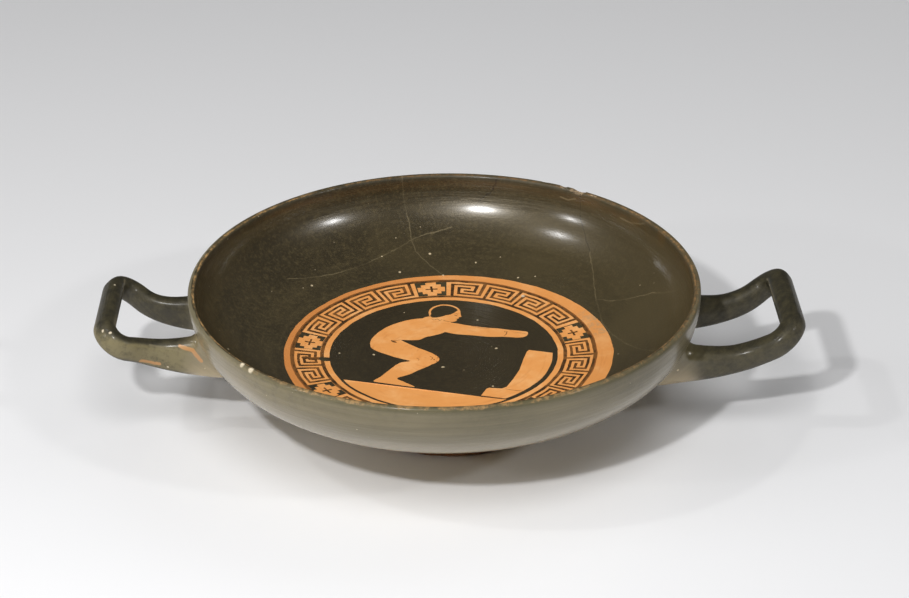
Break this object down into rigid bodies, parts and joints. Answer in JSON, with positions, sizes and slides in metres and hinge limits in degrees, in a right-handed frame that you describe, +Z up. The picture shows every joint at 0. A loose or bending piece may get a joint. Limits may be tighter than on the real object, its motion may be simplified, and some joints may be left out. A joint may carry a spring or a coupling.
{
  "type": "greek kylix cup",
  "caption": "Shallow two-handled ancient Greek drinking cup of black-gloss fired clay on a low ring foot, with a painted round picture in a meander border inside.",
  "frame": {"origin": "on the ground under the cup, midway between the ends of the two handles and midway across the rim", "axes": "+Z up, X through the two handles, -Y towards the viewer of the painted picture"},
  "size_m": [0.248, 0.18, 0.0505],
  "materials": {
    "black_gloss": "semi-gloss black slip over orange fired clay"
  },
  "bodies": {
    "root": {"cup": "black_gloss"}
  },
  "joints": []
}
